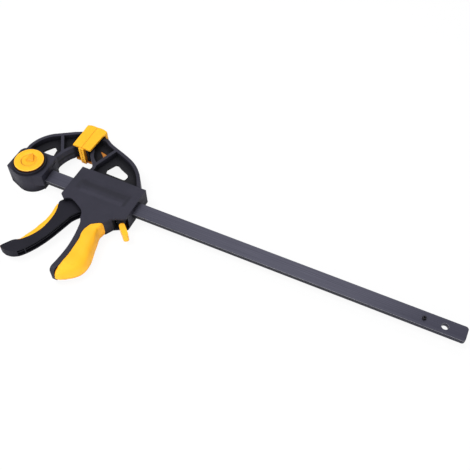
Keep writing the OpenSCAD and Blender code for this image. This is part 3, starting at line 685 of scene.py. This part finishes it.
def make_grip():
    front = handle_line([
        (16, 0), (11.4, 1.9), (8.3, 4.4), (5.3, 7), (4.1, 10.9), (3.2, 15.2), (3.6, 20.6),
        (5.3, 27.8), (5.85, 38.5), (6, 47.1), (4.9, 56.4), (3.3, 63.6), (2.5, 68.3), (3.4, 71.3)
    ])
    back = handle_line([
        (16, 0), (14.7, 7), (15.4, 11.3), (17.9, 18.2), (20.7, 27.2), (23, 34.8), (24.5, 41.8),
        (24.3, 49.7), (21.6, 56.4), (15.8, 62.3), (8.1, 68.6), (3.4, 71.3)
    ])
    # half thickness and bend of the section, by the share of the handle's length
    halves = [(-0.02, 10.1), (0.14, 11.0), (0.36, 12.2), (0.54, 12.5), (0.76, 12.5), (0.87, 12.2),
              (0.96, 10.6), (1.02, 8.4), (1.055, 6.2), (1.075, 4)]
    bends = [(0, 0.3), (0.16, 0.5), (0.36, 0.72)]
    stations = 90
    rings = []
    for a, b in zip(evenly(front, stations), evenly(back, stations)):
        share = (HANDLE_Y - (a.y + b.y) / 2) / HANDLE_L
        rings.append(grip_ring(a, b, between(halves, share), between(bends, share)))
    new_piece("grip_overmould", loft("grip_overmould", rings), yellow_soft, "clamp_body",
              "yellow_rubber", "grip")


def grip_ring(front, back, half, bend):
    """A section of the grip: a rounded edge by the spine, then a full round to the back."""
    lead, round_edge, round_steps = 11.0, 1.5, 20
    width = max((back - front).length, 0.02)
    along = (back - front) / width if (back - front).length > 0.01 else Vector((1, 0))
    centre, reach = (width - lead) / 2, (width + lead) / 2
    fillet = min(round_edge, width * 0.3)
    turn = math.acos(max(-1, min(1, power((fillet - centre) / reach, 1 / bend))))
    edge = half * abs(math.sin(turn)) ** bend
    upper = [(0, 0), (0, (edge - fillet) * 0.5)]
    for angle in (math.radians(a) for a in (0, 22, 45, 68)):
        upper.append((fillet * (1 - math.cos(angle)), edge - fillet + fillet * math.sin(angle)))
    for k in range(round_steps):
        angle = turn * (1 - k / (round_steps - 1))
        across = half * abs(math.sin(angle)) ** bend
        upper.append((centre + reach * power(math.cos(angle), bend), across))
    section = upper + [(u, -z) for u, z in reversed(upper[1:-1])]
    return [(*(front + along * u), z) for u, z in section]


def hang(across, down):
    """A point of the trigger, given as shares of its length from the pivot."""
    return Vector((PIVOT[0] + TRIGGER_L * across, PIVOT[1] - TRIGGER_L * down))


def make_insert():
    front = spline([
        hang(-0.147, 0.359), hang(-0.14, 0.399), hang(-0.129, 0.432), hang(-0.1165, 0.499),
        hang(-0.1165, 0.565), hang(-0.1215, 0.626), hang(-0.1355, 0.696), hang(-0.1625, 0.761),
        hang(-0.1915, 0.808), hang(-0.2285, 0.855), hang(-0.2775, 0.89), hang(-0.315, 0.941)
    ], 4)
    seated = front[2:40]
    # height over the trigger's edge, by the share of the insert's length
    crowns = [(0, 0), (0.05, 0.4), (0.11, 0.64), (0.19, 0.72), (0.3, 0.76), (0.38, 0.77),
              (0.45, 0.9), (0.54, 1), (0.62, 0.91), (0.73, 0.81), (0.79, 0.69), (0.86, 0.4),
              (0.93, 0.1), (1, 0)]
    highest, depth, half, foot = 5.7, 0.95, 5.2, 2.5
    stations, arc_steps = 70, 24
    out = Vector((-1, 0.35)).normalized()
    rings = []
    for i, point in enumerate(evenly(seated, stations)):
        share = i / (stations - 1)
        crown = highest * between(crowns, share)
        sunk = depth * max(0, math.sin(math.pi * share)) ** 0.5
        ring = []
        for k in range(arc_steps + 1):
            angle = math.radians(-90 + 180 * k / arc_steps)
            rise = (crown + sunk) * abs(math.cos(angle)) ** 0.4
            ring.append((-sunk + rise, half * power(math.sin(angle), 0.45)))
        ring += [(-sunk, foot), (-sunk, 0), (-sunk, -foot)]
        rings.append([(*(point + out * n), z) for n, z in ring])
    new_piece("trigger_overmould", loft("trigger_overmould", rings), yellow_soft, "trigger_arm",
              "yellow_rubber", "trigger_insert")


def deepen_panel(vertex):
    """The panel's floor lies a little deeper than in the part, so that its slopes show."""
    floor, deeper = 9.0, 8.3
    x, y, z = vertex.co / MM
    if 27 < x < 84.5 and -10 < y < 10.5 and abs(abs(z) - floor) < 0.1:
        vertex.co.z = math.copysign(deeper * MM, z)


def widen_tab(vertex):
    """The release lever's tab keeps its width to a full, round end."""
    start, run, longer, wider = 18, 5, 1.4, 0.7
    along = Vector((math.cos(TAB_TURN), math.sin(TAB_TURN)))
    side = Vector((-along.y, along.x))
    out = Vector((vertex.co.x / MM - LEVER_PIVOT[0], vertex.co.y / MM - LEVER_PIVOT[1]))
    share = max(0, min(1, (out.dot(along) - start) / run))
    move = along * longer * share + side * math.copysign(wider * share, out.dot(side))
    vertex.co.x += move.x * MM
    vertex.co.y += move.y * MM


def round_ridge(work):
    """Round the edges at the top of the knob's ridge."""
    top = [e for e in work.edges if max(v.co.z for v in e.verts) > 17 * MM]
    bevel(work, top, 0.45, 3, False)


def make_knob():
    """The knob turned about its axis, with the ridge that it is turned by."""
    profile = [
        (0, 16.1), (7.9, 16.1), (8.15, 16.2), (8.75, 16.95), (9.0, 17.1), (14.9, 17.1),
        (15.35, 17.0), (15.75, 16.75), (16.05, 16.4), (16.2, 16.0), (16.2, 14.9), (16.0, 14.7),
        (9.8, 14.7), (9.6, 14.5), (9.6, 7.95), (10.4, 7.95), (10.4, 6.3), (10.25, 6.15),
        (5.15, 6.15), (5.0, 6.3), (5.0, 14.7), (0, 14.7)
    ]
    new_piece("knob_turned", lathe("knob_turned", profile, KNOB_X), yellow_knob, "lock_knob",
              "yellow_plastic", "knob")
    foot_z, crest_z, tail_z = 15.8, 18.2, 17.12
    foot = [(x, y, foot_z) for x, y in ((-3.3, -2.3), (5.9, 0.7), (-1.6, 11.9), (-3.3, 11.9))]
    crest = [(-2.5, -1.0, crest_z), (4.5, 1.4, crest_z), (-1.9, 11.0, tail_z), (-2.7, 11.0, tail_z)]
    points = [(KNOB_X + x, y, z) for x, y, z in foot + crest]
    faces = [(3, 2, 1, 0), (4, 5, 6, 7)]
    faces += [(k, (k + 1) % 4, 4 + (k + 1) % 4, 4 + k) for k in range(4)]
    mesh = closed_mesh("knob_ridge", points, faces, RIDGE_CREASE, round_ridge)
    new_piece("knob_ridge", mesh, yellow_knob, "lock_knob", "yellow_plastic")


def in_body(p):
    """Inside the shells, where no edge is rounded. p in mm."""
    return 17.6 < p.x < 90 and -33 < p.y < 18.4 and 0.05 < abs(p.z) < 7.55


# ---------- the scene ----------

make_camera()
make_world()
make_floor()
for lamp in LAMPS:
    make_lamp(*lamp)

HARD, SOFT = (0.34, 0.44), (0.50, 0.62)
charcoal_jaw = charcoal_plastic("charcoal_plastic", detail=jaw_detail)
charcoal_shell = charcoal_plastic("charcoal_shell", level=0.85, detail=shell_detail)
charcoal_trigger = charcoal_plastic("charcoal_trigger", level=0.42, specular=0.1)
yellow_knob = yellow_surface("yellow_knob", HARD, 1500, 0.00003, knob_detail)
yellow_lever = yellow_surface("yellow_lever", HARD, 1500, 0.00003, lever_detail)
yellow_soft = yellow_surface("yellow_rubber", SOFT, 2600, 0.00005)
yellow_pad = yellow_surface("yellow_pad", SOFT, 2600, 0.00005, pad_detail)
bar_finish = bar_metal()
zinc = bright_metal("zinc_steel", ZINC)
black_pin = bright_metal("blackened_steel", BLACKENED)

# The CAD nodes that stay get the finish of their slot
SLOT_FINISH = {
    "bar_steel": bar_finish, "bright_steel": zinc, "body_plastic": charcoal_jaw,
    "yellow_plastic": yellow_knob, "yellow_rubber": yellow_soft
}
for row in frame["record"]["subparts"]:
    mesh = nodes[row["node"]].data
    finish = SLOT_FINISH[row["material_slot"]]
    for i in range(len(mesh.materials)):
        mesh.materials[i] = finish
    if not mesh.materials:
        mesh.materials.append(finish)

moulded("fixed_jaw", charcoal_jaw, "bar_and_jaw", "body_plastic", 0.7)
for shell in ("front_shell", "rear_shell"):
    moulded(shell, charcoal_shell, "clamp_body", "body_plastic", 0.6, in_body, deepen_panel)
moulded("trigger", charcoal_trigger, "trigger_arm", "body_plastic", 0.6)
moulded("fixed_pad", yellow_pad, "bar_and_jaw", "yellow_rubber", 0.4)
moulded("moving_pad", yellow_pad, "clamp_body", "yellow_rubber", 0.4)
make_grip()
make_insert()
make_knob()
moulded("release_lever", yellow_lever, "release", "yellow_plastic", 1.0, reshape=widen_tab)
moulded("bar", bar_finish, "bar_and_jaw", "bar_steel", 0.35)
moulded("stop_pin", black_pin, "bar_and_jaw", "bright_steel", 0.3)

# Springs: node, body, joint, axis, fixed end in mm, share left
SPRINGS = [
    ("lock_spring", "bar_and_jaw", "lock_pin_lift", (0, 0, 1), (KNOB_X, 0, 14.7), 0.24),
    ("drive_spring", "clamp_body", "drive_stroke", (1, 0, 0), (60, 12.6, 0), 0.72),
    ("brake_spring", "clamp_body", "brake_tilt", (1, 0, 0), (70.4, -13.4, 0), 0.855),
]
for node, body, joint, axis, anchor, keep in SPRINGS:
    mesh = nodes[node].data.copy()
    smooth_faces(mesh)
    spring = new_piece(node + "_wire", mesh, zinc, body, "bright_steel", node)
    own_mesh(spring)
